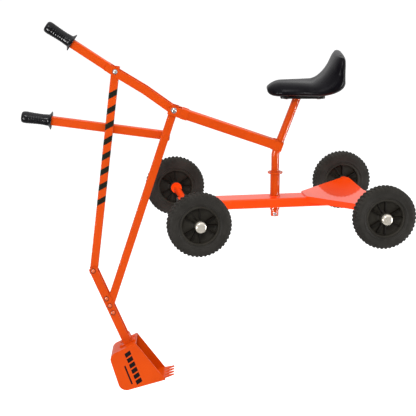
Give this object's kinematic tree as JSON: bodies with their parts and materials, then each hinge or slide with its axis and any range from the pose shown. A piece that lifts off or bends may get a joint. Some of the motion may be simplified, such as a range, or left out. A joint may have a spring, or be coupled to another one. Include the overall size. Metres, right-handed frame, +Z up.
{
  "type": "ride-on toy digger",
  "caption": "Ride-on sand digger: wheeled steel chassis, swivelling post with saddle seat, and a two-handled arm that swings and curls a toothed bucket.",
  "frame": {"origin": "on the ground plane under the swivel post's centre line", "axes": "+X towards the rear of the chassis, +Y across it to the side of the lower handle, +Z up along the swivel post"},
  "size_m": [0.8445, 0.438, 0.8577],
  "materials": {
    "chassis_orange": "gloss",
    "boom_orange": "gloss",
    "bucket_steel": "gloss",
    "bolt_orange": "gloss",
    "plated_steel": "zinc plated, satin",
    "axle_cap": "bright plated",
    "seat_plastic": "moulded, slight grain",
    "pan_steel": "black, semi-gloss",
    "grip_plastic": "moulded",
    "tyre": "worn matt",
    "hub_plastic": "moulded"
  },
  "bodies": {
    "chassis": {"chassis_beam": "chassis_orange", "beam_end_caps": "seat_plastic", "rear_deck": "chassis_orange", "front_axle_tube": "chassis_orange", "rear_axle_tube": "chassis_orange", "front_axle_rod": "plated_steel", "rear_axle_rod": "plated_steel", "axle_flanges": "plated_steel", "axle_washers": "plated_steel", "axle_caps": "axle_cap", "pivot_sleeve": "chassis_orange"},
    "wheel_front_right": {"tyre_front_right": "tyre", "hub_front_right": "hub_plastic"},
    "wheel_front_left": {"tyre_front_left": "tyre", "hub_front_left": "hub_plastic"},
    "wheel_rear_right": {"tyre_rear_right": "tyre", "hub_rear_right": "hub_plastic"},
    "wheel_rear_left": {"tyre_rear_left": "tyre", "hub_rear_left": "hub_plastic"},
    "upper_frame": {"swivel_post": "boom_orange", "post_collar": "boom_orange", "retaining_bolt": "plated_steel", "retaining_nut": "plated_steel", "main_beam": "boom_orange", "beam_ears": "boom_orange", "seat_pan": "pan_steel", "seat_screws": "plated_steel", "seat_shell": "seat_plastic", "pivot_bolt_a": "plated_steel", "pivot_nut_a": "plated_steel", "pivot_washers_a": "plated_steel"},
    "dipper": {"dipper_arm": "boom_orange", "lower_handle_pad": "boom_orange", "lower_handle_bar": "boom_orange", "lower_grip": "grip_plastic"},
    "lever": {"lever_straps": "boom_orange", "upper_handle_bar": "boom_orange", "upper_grip": "grip_plastic", "pivot_bolt_b": "plated_steel", "pivot_nut_b": "plated_steel"},
    "link": {"link_bar": "boom_orange"},
    "bucket": {"bucket_straps": "boom_orange", "bucket_shell": "bucket_steel", "bucket_sides": "bucket_steel", "tooth_plate": "bucket_steel", "bucket_bracket": "bucket_steel", "bucket_rivets": "plated_steel", "stop_bolts": "bolt_orange", "stop_nuts": "plated_steel", "pivot_bolt_c": "bolt_orange", "pivot_nut_c": "plated_steel", "pivot_bolt_d": "bolt_orange", "pivot_nut_d": "plated_steel"}
  },
  "joints": [
    {"name": "wheel_front_right_spin", "type": "hinge", "parent": "chassis", "child": "wheel_front_right", "pos_m": [-0.205, 0.188, 0.07], "axis": [0, 1, 0], "continuous": true},
    {"name": "wheel_front_left_spin", "type": "hinge", "parent": "chassis", "child": "wheel_front_left", "pos_m": [-0.205, -0.188, 0.07], "axis": [0, 1, 0], "continuous": true},
    {"name": "wheel_rear_right_spin", "type": "hinge", "parent": "chassis", "child": "wheel_rear_right", "pos_m": [0.205, 0.188, 0.07], "axis": [0, 1, 0], "continuous": true},
    {"name": "wheel_rear_left_spin", "type": "hinge", "parent": "chassis", "child": "wheel_rear_left", "pos_m": [0.205, -0.188, 0.07], "axis": [0, 1, 0], "continuous": true},
    {"name": "swivel", "type": "hinge", "parent": "chassis", "child": "upper_frame", "pos_m": [0, 0, 0.0925], "axis": [0, 0, 1], "range_deg": [-18, 36]},
    {"name": "dipper_swing", "type": "hinge", "parent": "upper_frame", "child": "dipper", "pos_m": [-0.22704, 0.03677, 0.2822], "axis": [0.1599, 0.9871, 0], "range_deg": [-10, 60]},
    {"name": "bucket_curl", "type": "hinge", "parent": "dipper", "child": "bucket", "pos_m": [-0.37688, 0.06104, -0.17949], "axis": [-0.1599, -0.9871, 0], "range_deg": [0, 48.72]},
    {"name": "lever_push", "type": "hinge", "parent": "dipper", "child": "lever", "pos_m": [-0.22704, 0.03677, 0.2822], "axis": [-0.1599, -0.9871, 0], "range_deg": [0, 24]},
    {"name": "link_turn", "type": "hinge", "parent": "lever", "child": "link", "pos_m": [-0.35646, 0.05773, 0.3693], "axis": [-0.1599, -0.9871, 0], "range_deg": [-27.6, 0]}
  ],
  "couplings": [
    {"joint": "bucket_curl", "follows": "lever_push", "ratio": 2.03},
    {"joint": "link_turn", "follows": "lever_push", "ratio": -1.15}
  ]
}
